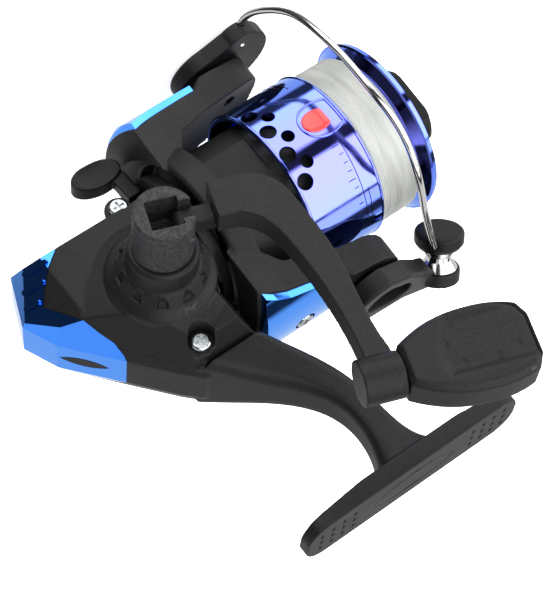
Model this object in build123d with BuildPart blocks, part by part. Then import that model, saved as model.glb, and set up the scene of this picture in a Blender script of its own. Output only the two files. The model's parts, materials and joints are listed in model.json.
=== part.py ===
from build123d import *
import os
from math import atan2, cos, degrees, pi, radians, sin, sqrt

# A small front-drag spinning reel with a folding crank handle.  Millimetres.
#
# Working frame while modelling: X runs forward along the spool's shaft, Y points
# to the side that carries the handle and Z points up to the foot.  Two groups are
# drawn in a frame of their own and turned into place when they are written:
# the rotor with its bail (arms along Z, turned about the spool's shaft) and the
# crank handle (crank shaft on Y, folded arm along Z, turned about the crank shaft).
# Every piece is written with the origin at the middle of the foot's flat face.

# ---- driving dimensions ------------------------------------------------------
FOOT_LENGTH, FOOT_WIDTH, FOOT_TIP = 58.4, 14.0, 2.8
FOOT_X, FOOT_Z = 18.1, 76.0        # middle of the foot's face in the working frame

CRANK_X, CRANK_Z = -2.4, 10.9      # crank shaft centre
CRANK_TILT = 20.0                  # folded handle leans this far from vertical
ROTOR_TILT = 8.0                   # rotor's arms lean this far from vertical

HALF_WIDTH, EDGE_HALF_WIDTH = 15.0, 5.0
SIDE_TAPER = 24.0
PARTING_Y = 8.0                    # the side cover starts here
FRONT_X, BOTTOM_Z, COVER_TOP_Z = 10.0, -13.0, 31.5
COLLAR_R, COLLAR_X = 18.4, 13.4
TOWER_R, TOWER_X = 9.0, 16.4
CAVITY_HALF_WIDTH = 12.6

SHAFT_R = 1.5
PINION_TEETH, DRIVE_TEETH = 7, 33
PINION_PITCH_R, DRIVE_PITCH_R = 3.4, 12.5
PINION_TIP_R, PINION_ROOT_R, PINION_SHANK_R = 3.8, 2.7, 3.0
STUB_TEETH, OSCILLATION_TEETH = 12, 24
OSCILLATION_X, OSCILLATION_Z = -13.0, 5.5
STROKE = 9.0                       # the spool draws back this far
BEARING_R, BEARING_W, BEARING_X = 6.5, 4.0, 12.2
RATCHET_X, RATCHET_W, RATCHET_R = 10.4, 1.4, 5.8
LEVER_Y, LEVER_Z, LEVER_THROW = 7.0, -14.2, 25.0

RING_X, RING_R, RING_BORE_R = 14.0, 21.4, 19.5
DRUM_R, DRUM_END_X = 17.4, 43.0
WEB_X = 18.2
ARM_IN_R, ARM_OUT_R = 23.2, 29.0
PIVOT_X, PIVOT_FACE = 43.0, 31.2
PIVOT_R = 2.4

SKIRT_X, SKIRT_R, SKIRT_WALL = 34.7, 20.85, 1.1
LINE_X, LINE_END_X, LINE_R, ARBOR_R = 54.5, 66.0, 20.0, 11.0
LIP_X, LIP_R = 70.0, 22.0
DRAG_BORE_R, DRAG_FLOOR_X = 9.4, 59.0
KNOB_X, KNOB_END_X, KNOB_R = 70.6, 78.4, 10.5

HUB_R, HUB_Y, HUB_TOP_Y = 6.7, 28.8, 42.2
FOLD_X, FOLD_Y = 4.4, 36.4         # fold pin, in the handle's own frame
ARM_Y, ARM_DEPTH, ARM_FLARE = 36.8, 5.8, 3.8
GRIP_Y, GRIP_Z = 44.6, 49.6        # axis of the grip, along X in the handle's frame
BOSS_X, BOSS_LENGTH = 25.6, 8.8    # boss that carries the grip
RUNNING = 0.05                     # radial clearance of a running fit

TO_FOOT = Location((-FOOT_X, 0, -FOOT_Z))
AT_ROTOR = TO_FOOT * Location((0, 0, 0), (ROTOR_TILT, 0, 0))
AT_HANDLE = TO_FOOT * Location((CRANK_X, 0, CRANK_Z), (0, -CRANK_TILT, 0))

os.makedirs("parts", exist_ok=True)


# ---- helpers -------------------------------------------------------------------
def save(name, piece, where=TO_FOOT):
    """Move a piece from its working frame into the foot's frame and write it."""
    placed = piece.part.moved(where)
    placed.label = name
    export_step(placed, f"parts/{name}.step")


def side(y):
    """Plane parallel to the reel's sides; a negative extrusion goes towards +Y."""
    return Plane.XZ.offset(-y)


def across(x):
    """Plane square to the spool's shaft; an extrusion goes forward."""
    return Plane.YZ.offset(x)


def turned(profile, axis=Axis.X, plane=Plane.XY):
    """A turned form from the points of half its section."""
    with BuildPart() as form:
        with BuildSketch(plane):
            with BuildLine():
                Polyline(*profile, close=True)
            make_face()
        revolve(axis=axis)
    return form.part


def turned_on_crank(profile):
    """A form turned about the crank shaft, from (radius, y) points."""
    plane = Plane(origin=(CRANK_X, 0, CRANK_Z), x_dir=(1, 0, 0), z_dir=(0, 0, 1))
    return turned(profile, Axis((CRANK_X, 0, CRANK_Z), (0, 1, 0)), plane)


def tube(start, length, outer_r, inner_r):
    """Half section of a plain ring along the axis that starts at start."""
    end = start + length
    return [(start, inner_r), (end, inner_r), (end, outer_r), (start, outer_r)]


def crank_tube(start, length, outer_r, inner_r):
    """The same for a ring on the crank shaft, whose points are (radius, y)."""
    return [(r, y) for y, r in tube(start, length, outer_r, inner_r)]


def screw(head_r, head_h, shank_r, shank_length):
    """A pan-head screw with a cross recess, head upwards from its origin."""
    with BuildPart() as form:
        Cylinder(shank_r, shank_length, align=(Align.CENTER, Align.CENTER, Align.MAX))
        Cylinder(head_r, head_h, align=(Align.CENTER, Align.CENTER, Align.MIN))
        fillet(form.edges().group_by(Axis.Z)[-1], head_h * 0.5)
        with Locations((0, 0, head_h)):
            Box(head_r * 1.2, head_r * 0.26, head_h, mode=Mode.SUBTRACT)
            Box(head_r * 0.26, head_r * 1.2, head_h, mode=Mode.SUBTRACT)
    return form.part


def coil(mean_r, wire_r, length, turns, start=(0, 0, 0), direction=(0, 0, 1)):
    """A helical wire spring."""
    with BuildPart() as form:
        with BuildLine() as path:
            Helix(pitch=length / turns, height=length, radius=mean_r, center=start, direction=direction)
        with BuildSketch(Plane(origin=path.line @ 0, z_dir=path.line % 0)):
            Circle(wire_r)
        sweep()
    return form.part


def toothed_outline(teeth, tip_r, root_r, tip_width, root_width):
    """Points of a toothed disc with straight-sided teeth, one tooth on local x."""
    points = []
    for tooth in range(teeth):
        middle = 2 * pi * tooth / teeth
        for r, width, hand in ((root_r, root_width, -1), (tip_r, tip_width, -1),
                               (tip_r, tip_width, 1), (root_r, root_width, 1)):
            angle = middle + hand * width / 2 / r
            points.append((r * cos(angle), r * sin(angle)))
    return points


def tapered_form(outline, half_width):
    """A closed side outline, full size near the middle and narrowing outwards."""
    depth = half_width - EDGE_HALF_WIDTH
    with BuildPart() as form:
        with BuildSketch(side(EDGE_HALF_WIDTH)):
            Polygon(*outline, align=None)
        extrude(amount=2 * EDGE_HALF_WIDTH)
        with BuildSketch(side(EDGE_HALF_WIDTH)):
            Polygon(*outline, align=None)
        extrude(amount=-depth, taper=SIDE_TAPER)
        with BuildSketch(side(-EDGE_HALF_WIDTH)):
            Polygon(*outline, align=None)
        extrude(amount=depth, taper=SIDE_TAPER)
    return form.part


def slab(outline, y_from, y_to):
    """A straight prism of a side outline between two planes."""
    with BuildPart() as form:
        with BuildSketch(side(y_from)):
            Polygon(*outline, align=None)
        extrude(amount=y_from - y_to)
    return form.part


def prism(outline, x_from, x_to):
    """A straight prism of a (y, z) outline between two planes across the shaft."""
    with BuildPart() as form:
        with BuildSketch(across(x_from)):
            Polygon(*outline, align=None)
        extrude(amount=x_to - x_from)
    return form.part


# ---- housing: one outer form, parted into body, side cover and rear cap --------
HOUSING = [(-26.0, BOTTOM_Z), (-31.0, -1.0), (-27.5, 7.0), (-9.5, 28.4), (-5.5, 32.5),
           (9.9, 32.5), (FRONT_X, 21.0), (FRONT_X, BOTTOM_Z)]
CAVITY = [(-23.2, -9.8), (-27.2, -0.6), (-24.3, 6.0), (-8.0, 25.2), (4.0, 25.2),
          (FRONT_X - 2, 19.5), (FRONT_X - 2, -9.8)]
CAP_REGION = [(-12.6, -16.0), (-13.8, -12.0), (-17.1, -8.4), (-20.4, -6.2), (-23.8, -3.0), (-25.8, -0.3),
              (-22.8, 6.0), (-19.8, 12.3), (-18.1, 15.5), (-17.4, 18.1), (-17.2, 22.0), (-17.2, 30.0),
              (-40.0, 30.0), (-40.0, -16.0)]
VENTS = [(-22.4, -8.2, 6.8), (-24.9, -5.3, 6.0), (-27.2, -2.5, 4.2)]    # x, z and length
COVER_SCREWS = [(2.2, -11.3, 9.6), (-3.6, 27.2, 11.0)]      # x, z and the head's seat y

REAR_FACET = [(-31.5, 5.5), (-20.5, 13.6), (-14.0, HALF_WIDTH)]     # plan of the rear corners
CAVITY_FACET = [(-30.0, 3.4), (-20.0, 11.0), (-13.0, CAVITY_HALF_WIDTH)]


def faceted(form, corners):
    """Cut a form's rear corners to their plan outline."""
    right = [(20, corners[-1][1])] + corners[::-1]
    left = [(x, -y) for x, y in right[::-1]]
    with BuildPart() as cut:
        add(form)
        with BuildSketch(Plane.XY.offset(-30)):
            Polygon(*right, *left, align=None)
        extrude(amount=80, mode=Mode.INTERSECT)
    return cut.part


housing = faceted(tapered_form(HOUSING, HALF_WIDTH), REAR_FACET)
cavity = faceted(tapered_form(CAVITY, CAVITY_HALF_WIDTH), CAVITY_FACET)
cap_region = slab(CAP_REGION, -20, 20)
cover_side = slab([(-50, -40), (50, -40), (50, COVER_TOP_Z), (-50, COVER_TOP_Z)], PARTING_Y, 20)

# Heights up the stem with the section's rear and front edge and its half width.
STEM = [(30.5, -6.8, 9.6, 10.4), (38.0, 1.2, 14.7, 8.0), (46.0, 9.3, 19.2, 6.2), (54.0, 14.2, 21.4, 5.2),
        (62.0, 15.0, 22.5, 4.8), (69.0, 13.0, 24.5, 5.2), (72.4, 3.0, 34.0, 6.2)]
FOOT_SIDE = [(-FOOT_LENGTH / 2, -FOOT_TIP), (-12.0, -4.4), (14.0, -4.4), (FOOT_LENGTH / 2, -FOOT_TIP),
             (FOOT_LENGTH / 2, 0), (-FOOT_LENGTH / 2, 0)]

with BuildPart() as foot:
    with BuildSketch(side(FOOT_WIDTH / 2)):
        with Locations((FOOT_X, FOOT_Z)):
            Polygon(*FOOT_SIDE, align=None)
    extrude(amount=FOOT_WIDTH)
    with BuildSketch(Plane.XY.offset(FOOT_Z)):
        with Locations((FOOT_X, 0)):
            RectangleRounded(FOOT_LENGTH, FOOT_WIDTH, 5.5)
    extrude(amount=-8, mode=Mode.INTERSECT)
    # grip dashes on the end thirds and a long lens outline in the middle
    with BuildSketch(Plane.XY.offset(FOOT_Z)):
        with Locations((FOOT_X, 0)):
            with Locations(*[(end * (16.5 + 3.0 * i), row)
                             for end in (-1, 1) for i in range(4) for row in (-3, 0, 3)]):
                Rectangle(0.9, 1.9)
            Ellipse(11.5, 3.6)
            Ellipse(10.9, 3.0, mode=Mode.SUBTRACT)
    extrude(amount=-0.35, mode=Mode.SUBTRACT)

with BuildPart() as stem:
    for z, rear, front, half in STEM:
        with BuildSketch(Plane.XY.offset(z)):
            with Locations(((rear + front) / 2, 0)):
                RectangleRounded(front - rear, 2 * half, min(3.2, (front - rear) * 0.3))
    loft()

with BuildPart() as body_frame:
    add(housing)
    add(stem.part)
    add(foot.part)
    add(cavity, mode=Mode.SUBTRACT)
    add(cover_side, mode=Mode.SUBTRACT)
    add(cap_region, mode=Mode.SUBTRACT)
    # the wall behind the cap's corner belongs to the side cover
    add(slab([(-28, -8), (-23.0, -8), (-23.0, 9), (-28, 9)], 1.0, PARTING_Y), mode=Mode.SUBTRACT)
    # collar behind the rotor and the bearing tower
    add(turned([(FRONT_X, 0), (FRONT_X, COLLAR_R), (COLLAR_X, COLLAR_R - 0.6),
                (COLLAR_X + 0.6, TOWER_R), (TOWER_X, TOWER_R), (TOWER_X, 0)]))
    add(turned(tube(BEARING_X, 10, BEARING_R + 0.01, 0)), mode=Mode.SUBTRACT)
    add(turned(tube(FRONT_X - 3, 8, 5.4, 0)), mode=Mode.SUBTRACT)
    add(turned(tube(FRONT_X - 3, 5.0, RATCHET_R + 1.0, 0)), mode=Mode.SUBTRACT)
    # round chamber for the drive gear, reaching into the collar
    add(turned_on_crank(crank_tube(2.6, 5.4, DRIVE_PITCH_R + 1.7, 0)), mode=Mode.SUBTRACT)
    # slot for the pawl and bore for the lever's spindle
    pawl_slot = [(4.4, -15.4), (9.2, -15.0), (9.0, -3.0), (4.0, 0.0), (-0.8, -4.0)]
    add(prism(pawl_slot, 10.2, 12.0), mode=Mode.SUBTRACT)
    with BuildSketch(across(FRONT_X - 1)):
        with Locations((LEVER_Y, LEVER_Z)):
            Circle(1.5 + RUNNING)
    extrude(amount=4.0, mode=Mode.SUBTRACT)
    with BuildSketch(across(10.2)):
        with Locations((LEVER_Y, LEVER_Z)):
            Circle(2.0)
    extrude(amount=1.8, mode=Mode.SUBTRACT)
    # far-side bearing boss for the crank shaft
    add(turned_on_crank(crank_tube(-HALF_WIDTH - 1.5, 6.5, 7.0, 0)))
    add(turned_on_crank(crank_tube(-HALF_WIDTH, 10, 4.2, 0)), mode=Mode.SUBTRACT)
    add(turned_on_crank(crank_tube(-HALF_WIDTH - 2, 2.6, 5.2, 0)), mode=Mode.SUBTRACT)
    # pin that carries the oscillation gear
    with BuildSketch(side(1 - HALF_WIDTH)):
        with Locations((OSCILLATION_X, OSCILLATION_Z)):
            Circle(1.6)
    extrude(amount=3.2 - HALF_WIDTH + 1)
    # screw posts for the side cover
    for x, z, seat in COVER_SCREWS:
        with BuildSketch(side(PARTING_Y)):
            with Locations((x, z)):
                Circle(2.4)
        extrude(amount=7)
        with BuildSketch(side(PARTING_Y)):
            with Locations((x, z)):
                Circle(1.3)
        extrude(amount=6, mode=Mode.SUBTRACT)
save("body_frame", body_frame)


with BuildPart() as dome:
    add(turned_on_crank([(0, 12.0), (19.5, 12.0), (19.5, 13.0), (12.6, 16.4), (0, 16.4)]))
    add(tapered_form(HOUSING, HALF_WIDTH + 3), mode=Mode.INTERSECT)

with BuildPart() as side_cover:
    add(housing)
    add(dome.part)
    add(cavity, mode=Mode.SUBTRACT)
    add(cover_side, mode=Mode.INTERSECT)
    add(cap_region, mode=Mode.SUBTRACT)
    # flange and collar around the crank shaft, with oval dimples in the flange
    add(turned_on_crank([(0, 12.6), (12.3, 12.6), (12.3, 16.8), (12.0, 17.3), (10.4, 18.9), (8.6, 22.0),
                         (8.0, 22.4), (8.0, 27.6), (7.2, 28.4), (0, 28.4)]))
    with Locations((CRANK_X, 0, CRANK_Z)):
        with Locations(Rotation(90, 0, 0)):
            with PolarLocations(12.0, 10, start_angle=18 - CRANK_TILT):
                with Locations((0, 0, -20.2)):
                    Sphere(1.75, mode=Mode.SUBTRACT)
    # bearing bore, screw ears with counterbores and holes
    add(turned_on_crank(crank_tube(7.0, 22.0, 5.5, 0)), mode=Mode.SUBTRACT)
    for x, z, seat in COVER_SCREWS:
        with BuildSketch(side(PARTING_Y)):
            with Locations((x, z)):
                Circle(3.3)
        extrude(amount=PARTING_Y - seat)
        with BuildSketch(side(seat)):
            with Locations((x, z)):
                Circle(3.0)
        extrude(amount=-8, mode=Mode.SUBTRACT)
        with BuildSketch(side(PARTING_Y - 1)):
            with Locations((x, z)):
                Circle(1.6)
        extrude(amount=-12, mode=Mode.SUBTRACT)
save("side_cover", side_cover)

FACET_START = REAR_FACET[0]
FACET_RISE = (REAR_FACET[1][1] - REAR_FACET[0][1]) / (REAR_FACET[1][0] - REAR_FACET[0][0])
INSET_AT = (-23.5, 11.76)          # middle of the rear cap's almond inset
inset_plane = Plane(origin=(INSET_AT[0], 0, INSET_AT[1]), x_dir=(0.644, 0, 0.765), z_dir=(-0.765, 0, 0.644))


def almond(length, width):
    """Pointed oval drawn from two arcs."""
    half, rise = length / 2, width / 2
    with BuildSketch(inset_plane) as shape:
        with BuildLine():
            ThreePointArc((-half, 0), (0, rise), (half, 0))
            ThreePointArc((half, 0), (0, -rise), (-half, 0))
        make_face()
    return shape.sketch


with BuildPart() as rear_cap:
    add(housing)
    add(cavity, mode=Mode.SUBTRACT)
    add(cap_region, mode=Mode.INTERSECT)
    extrude(almond(11.4, 3.3), amount=-0.9, mode=Mode.SUBTRACT)
    # three raised vents on each rear facet
    for hand in (-1, 1):
        for x, z, length in VENTS:
            y = hand * (FACET_START[1] + (x - FACET_START[0]) * FACET_RISE)
            facet = Plane(origin=(x, y, z), x_dir=(1, hand * FACET_RISE, 0.35), z_dir=(-FACET_RISE, hand, 0))
            with BuildSketch(facet):
                SlotOverall(length, 1.3)
            extrude(amount=0.5, both=True)
    add(cap_region, mode=Mode.INTERSECT)
save("rear_cap", rear_cap)

with BuildPart() as rear_cap_inset:
    extrude(almond(11.2, 3.1), amount=-0.85)
save("rear_cap_inset", rear_cap_inset)

cover_screw = screw(2.3, 1.5, 1.25, 5.0)
with BuildPart() as cover_screws:
    for x, z, seat in COVER_SCREWS:
        with Locations(Location((x, seat, z), (-90, 0, 0))):
            add(cover_screw)
save("cover_screws", cover_screws)

# ---- crank shaft, gears and bushes ----------------------------------------------
MESH_DX = sqrt(DRIVE_PITCH_R ** 2 - CRANK_Z ** 2)
GEAR_RATIO = DRIVE_TEETH / PINION_TEETH
TOOTH_SLOPE = (GEAR_RATIO * PINION_PITCH_R - MESH_DX) / CRANK_Z
MESH_ANGLE = degrees(atan2(CRANK_Z, MESH_DX))
TOOTH_LEAN = MESH_ANGLE - degrees(atan2(TOOTH_SLOPE, 1))
TOOTH_FACE_Y, DISC_Y, DISC_W = 3.3, 4.2, 2.4
CENTRES_ANGLE = degrees(atan2(CRANK_Z - OSCILLATION_Z, CRANK_X - OSCILLATION_X))
SOCKET = 4.4                       # square socket for the crank hub's shank

with BuildPart() as drive_gear:
    add(turned_on_crank([(0, -11.6), (2.9, -11.6), (2.9, 2.0), (2.9, DISC_Y), (DRIVE_PITCH_R + 1.0, DISC_Y),
                         (DRIVE_PITCH_R + 1.0, DISC_Y + DISC_W - 0.8), (6.0, DISC_Y + DISC_W), (4.0, 8.0),
                         (4.0, 28.2), (0, 28.2)]))
    with BuildSketch(side(DISC_Y + 0.2)):
        with Locations((CRANK_X, CRANK_Z)):
            with PolarLocations(DRIVE_PITCH_R, DRIVE_TEETH, start_angle=-MESH_ANGLE):
                Rectangle(2.0, 0.6, rotation=TOOTH_LEAN)
    extrude(amount=DISC_Y + 0.2 - TOOTH_FACE_Y)
    # small spur gear that drives the oscillation gear
    with BuildSketch(side(-3.6)):
        with Locations(Location((CRANK_X, CRANK_Z), 180 + CENTRES_ANGLE)):
            Polygon(*toothed_outline(STUB_TEETH, 4.35, 3.3, 0.55, 1.0), align=None)
    extrude(amount=1.8)
    with BuildSketch(side(14.0)):
        with Locations((CRANK_X, CRANK_Z)):
            Rectangle(SOCKET, SOCKET, rotation=CRANK_TILT)
    extrude(amount=-20, mode=Mode.SUBTRACT)
save("drive_gear", drive_gear)

with BuildPart() as drive_bush_near:
    add(turned_on_crank(crank_tube(12.6, 15.4, 5.48, 4.0 + RUNNING)))
save("drive_bush_near", drive_bush_near)

with BuildPart() as drive_bush_far:
    add(turned_on_crank(crank_tube(-12.4, 3.6, 4.18, 2.9 + RUNNING)))
save("drive_bush_far", drive_bush_far)

with BuildPart() as far_side_cap:
    add(turned_on_crank([(0, -HALF_WIDTH - 2.6), (4.6, -HALF_WIDTH - 2.6), (5.1, -HALF_WIDTH - 2.2),
                         (5.1, -HALF_WIDTH + 0.5), (0, -HALF_WIDTH + 0.5)]))
    with BuildSketch(side(-HALF_WIDTH - 2.6)):
        with Locations((CRANK_X, CRANK_Z)):
            Rectangle(6.5, 1.2)
    extrude(amount=-0.9, mode=Mode.SUBTRACT)
save("far_side_cap", far_side_cap)

OSCILLATION_PIN_R = STROKE / 2
with BuildPart() as oscillation_gear:
    with BuildSketch(side(-3.7)):
        with Locations(Location((OSCILLATION_X, OSCILLATION_Z), CENTRES_ANGLE + 180 / OSCILLATION_TEETH)):
            Polygon(*toothed_outline(OSCILLATION_TEETH, 8.3, 7.3, 0.55, 1.0), align=None)
            Circle(1.6 + RUNNING, mode=Mode.SUBTRACT)
    extrude(amount=1.6)
    with BuildSketch(side(-3.7)):
        with Locations((OSCILLATION_X + OSCILLATION_PIN_R, OSCILLATION_Z)):
            Circle(1.0)
    extrude(amount=-1.5)
save("oscillation_gear", oscillation_gear)

SLOT_X = OSCILLATION_X + OSCILLATION_PIN_R
with BuildPart() as oscillation_slider:
    with BuildSketch(side(-1.9)):
        with Locations((SLOT_X, 4.4)):
            RectangleRounded(5.0, 14.4, 1.0)
        with Locations((SLOT_X, OSCILLATION_Z)):
            SlotOverall(2 * OSCILLATION_PIN_R + 2.4, 2.2, rotation=90, mode=Mode.SUBTRACT)
    extrude(amount=-1.2)
    with BuildSketch(side(-1.9)):
        with Locations((SLOT_X, -0.2)):
            Rectangle(5.0, 5.4)
    extrude(amount=-3.8)
    add(turned(tube(SLOT_X - 3, 6, SHAFT_R, 0)), mode=Mode.SUBTRACT)
    with Locations((SLOT_X, 0, -2.2)):
        Cylinder(0.75, 2.4, mode=Mode.SUBTRACT)
save("oscillation_slider", oscillation_slider)

with BuildPart() as slider_screw:
    with Locations(Location((SLOT_X, 0, -2.9), (180, 0, 0))):
        add(screw(1.6, 1.0, 0.7, 1.35))
save("slider_screw", slider_screw)

# ---- pinion, bearing and anti-reverse ---------------------------------------------
PINION_X, PINION_LENGTH = 0.2, 7.0
MESH_X = CRANK_X + MESH_DX


def pinion_section(phase):
    """Seven thin teeth, turned by phase."""
    outline = toothed_outline(PINION_TEETH, PINION_TIP_R, PINION_ROOT_R, 0.62, 1.0)
    turn = radians(phase)
    return [(y * cos(turn) - z * sin(turn), y * sin(turn) + z * cos(turn)) for y, z in outline]


TWIST = -degrees(TOOTH_SLOPE / PINION_PITCH_R)             # degrees per millimetre
with BuildPart() as pinion_gear:
    for step in range(8):
        x = PINION_X + PINION_LENGTH * step / 7
        with BuildSketch(across(x)):
            Polygon(*pinion_section(180 / PINION_TEETH + TWIST * (x - MESH_X)), align=None)
    loft(ruled=True)
    add(turned(tube(PINION_X + PINION_LENGTH, 18.6, PINION_SHANK_R, 0)))
    add(turned(tube(-1, 30, SHAFT_R + RUNNING, 0)), mode=Mode.SUBTRACT)
save("pinion_gear", pinion_gear)

with BuildPart() as bearing_outer_race:
    add(turned(tube(BEARING_X, BEARING_W, BEARING_R, 5.5)))
    with Locations((BEARING_X + BEARING_W / 2, 0, 0)):
        with Locations(Rotation(0, 90, 0)):
            Torus(4.77, 1.0, mode=Mode.SUBTRACT)
save("bearing_outer_race", bearing_outer_race)

with BuildPart() as bearing_inner_race:
    add(turned(tube(BEARING_X, BEARING_W, 4.05, PINION_SHANK_R)))
    with Locations((BEARING_X + BEARING_W / 2, 0, 0)):
        with Locations(Rotation(0, 90, 0)):
            Torus(4.77, 1.0, mode=Mode.SUBTRACT)
save("bearing_inner_race", bearing_inner_race)

with BuildPart() as bearing_balls:
    with Locations(Plane.YZ.offset(BEARING_X + BEARING_W / 2)):
        with PolarLocations(4.77, 8):
            Sphere(0.95)
save("bearing_balls", bearing_balls)

with BuildPart() as bearing_plate:
    with BuildSketch(across(TOWER_X)):
        Circle(TOWER_R)
        Circle(4.8, mode=Mode.SUBTRACT)
    extrude(amount=0.8)
    with Locations(Plane.YZ.offset(TOWER_X + 0.8)):
        with PolarLocations(7.6, 3, start_angle=30):
            Hole(0.75)
save("bearing_plate", bearing_plate)

with BuildPart() as bearing_plate_screws:
    with Locations(Plane.YZ.offset(TOWER_X + 0.8)):
        with PolarLocations(7.6, 3, start_angle=30):
            add(screw(1.15, 0.6, 0.6, 0.8))
save("bearing_plate_screws", bearing_plate_screws)

with BuildPart() as ratchet_wheel:
    with BuildSketch(across(RATCHET_X)):
        with BuildLine():
            teeth = []
            for tooth in range(12):
                for r, turn in ((RATCHET_R, 0.0), (RATCHET_R, 0.06), (RATCHET_R - 1.2, 0.12)):
                    angle = 2 * pi * (tooth / 12) + turn * 2
                    teeth.append((r * cos(angle), r * sin(angle)))
            Polyline(*teeth, close=True)
        make_face()
        Circle(PINION_SHANK_R, mode=Mode.SUBTRACT)
    extrude(amount=RATCHET_W)
save("ratchet_wheel", ratchet_wheel)

PAWL_LENGTH = sqrt(LEVER_Y ** 2 + LEVER_Z ** 2) - RATCHET_R - 0.25
PAWL_ANGLE = degrees(atan2(-LEVER_Z, -LEVER_Y)) - LEVER_THROW
with BuildPart() as anti_reverse_pawl:
    with BuildSketch(across(RATCHET_X)):
        with Locations(Location((LEVER_Y, LEVER_Z), PAWL_ANGLE)):
            Circle(1.6)
            with Locations((PAWL_LENGTH / 2, 0)):
                Rectangle(PAWL_LENGTH, 1.5)
            Circle(0.9, mode=Mode.SUBTRACT)
    extrude(amount=RATCHET_W)
save("anti_reverse_pawl", anti_reverse_pawl)

LEVER_REAR_X = 7.6
with BuildPart() as anti_reverse_lever:
    with BuildSketch(across(LEVER_REAR_X)):
        with Locations((LEVER_Y, LEVER_Z)):
            Circle(1.5)
    extrude(amount=RATCHET_X - LEVER_REAR_X)
    with BuildSketch(across(RATCHET_X)):
        with Locations((LEVER_Y, LEVER_Z)):
            Circle(0.9)
    extrude(amount=RATCHET_W + 0.1)
    with BuildSketch(side(LEVER_Y - 1.6)):
        Polygon((6.2, LEVER_Z + 1.4), (9.6, LEVER_Z + 1.4), (9.6, -19.0), (8.6, -22.5), (4.0, -22.8),
                (5.8, -19.5), align=None)
    extrude(amount=-3.2)
    with BuildSketch(side(LEVER_Y - 2.2)):
        with Locations(Location((3.6, -22.2), 6)):
            Ellipse(6.2, 3.4)
    extrude(amount=-4.4)
    with Locations((3.2, LEVER_Y + 12.2, -22.2)):
        Sphere(10.8, mode=Mode.SUBTRACT)
save("anti_reverse_lever", anti_reverse_lever)

# ---- rotor, drawn with its arms along Z ---------------------------------------------
# Plan of an arm seen along Z: half widths along the shaft from the ring to the pivot.
ARM_PLAN = [(13.0, 17.4), (16.6, 15.8), (20.0, 14.3), (27.0, 12.6), (34.0, 9.8), (PIVOT_X, 8.4)]
ARM_REAR_X = 10.7
ARM_END_X = PIVOT_X + 8.4
ARM_SECTION = [(RING_X, 20.0), (ARM_REAR_X - 1, 23.6), (ARM_REAR_X - 1, 28.4), (11.6, ARM_OUT_R),
               (34.0, ARM_OUT_R), (37.0, PIVOT_FACE), (ARM_END_X, PIVOT_FACE), (ARM_END_X, ARM_IN_R + 1.4),
               (24.0, ARM_IN_R), (20.5, 20.0)]
POCKET_SECTION = [(RING_X - 2, 22.0), (RING_X - 2, 27.4), (38.0, 27.4), (38.0, ARM_IN_R + 1.2),
                  (24.0, ARM_IN_R + 1.2), (17.0, 22.4)]


def arm_plan(inset=0.0):
    """Plan outline of an arm, pulled in by inset, with a round end at the pivot."""
    points = [(x, half - inset) for x, half in ARM_PLAN]
    points[0] = (points[0][0] + inset, points[0][1])
    end = points[-1][1]
    with BuildSketch(Plane.XY) as plan:
        with BuildLine():
            Polyline(*points)
            ThreePointArc(points[-1], (PIVOT_X + end, 0), (PIVOT_X, -end))
            Polyline(*[(x, -half) for x, half in points[::-1]])
            ThreePointArc((points[0][0], -points[0][1]), (ARM_REAR_X + inset, 0), points[0])
        make_face()
    return plan.sketch


def half_turned(section, inset):
    """The upper half turn of a section, clipped to the arm's plan outline."""
    with BuildPart() as form:
        add(turned(section))
        extrude(arm_plan(inset), amount=60, mode=Mode.INTERSECT)
    return form.part


with BuildPart() as rotor_arm:
    add(half_turned(ARM_SECTION, 0))
    add(half_turned(POCKET_SECTION, 2.2), mode=Mode.SUBTRACT)
    # post for the cover screw and boss under the pivot
    with Locations((24.5, 0, ARM_IN_R)):
        Cylinder(2.4, 5.6, align=(Align.CENTER, Align.CENTER, Align.MIN))
    with Locations((PIVOT_X, 0, PIVOT_FACE)):
        Hole(1.55, 7.0)
    with Locations((24.5, 0, ARM_OUT_R)):
        Hole(1.05, 5.0)

HUB_BORE_X = WEB_X + 5.0
with BuildPart() as rotor:
    add(turned([(RING_X, RING_BORE_R), (RING_X, RING_R - 0.6), (RING_X + 0.8, RING_R), (20.4, RING_R),
                (21.4, DRUM_R), (DRUM_END_X, DRUM_R), (DRUM_END_X, DRUM_R - 2.0), (21.0, DRUM_R - 2.0),
                (WEB_X + 2.6, DRUM_R - 3.4), (WEB_X + 2.6, 6.0), (HUB_BORE_X, 6.0),
                (HUB_BORE_X, PINION_SHANK_R), (WEB_X, PINION_SHANK_R), (WEB_X, RING_BORE_R - 2),
                (17.4, RING_BORE_R)]))
    for turn in (0, 180):
        with Locations(Rotation(turn, 0, 0)):
            add(rotor_arm.part)
    add(turned(tube(RING_X - 5, WEB_X - RING_X + 5, RING_BORE_R, 0)), mode=Mode.SUBTRACT)
    # raised flats on the drum between the arms
    for hand in (-1, 1):
        with BuildSketch(Plane.XZ.offset(-hand * (DRUM_R - 2))):
            with Locations((27.0, -4.0)):
                Rectangle(12.0, 9.0)
        extrude(amount=-hand * 2.2)
save("rotor", rotor, AT_ROTOR)

COVER_R = ARM_OUT_R + 1.5
COVER_SECTION = [(12.0, ARM_OUT_R + 0.02), (33.8, ARM_OUT_R + 0.02), (33.8, COVER_R), (13.2, COVER_R),
                 (12.0, COVER_R - 0.8)]
with BuildPart() as rotor_cover:
    add(half_turned(COVER_SECTION, 0.9))
    with Locations((24.5, 0, COVER_R - 0.9)):
        CounterBoreHole(1.2, 2.7, 0.9, 6)
with BuildPart() as rotor_arm_covers:
    for turn in (0, 180):
        with Locations(Rotation(turn, 0, 0)):
            add(rotor_cover.part)
save("rotor_arm_covers", rotor_arm_covers, AT_ROTOR)

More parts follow.
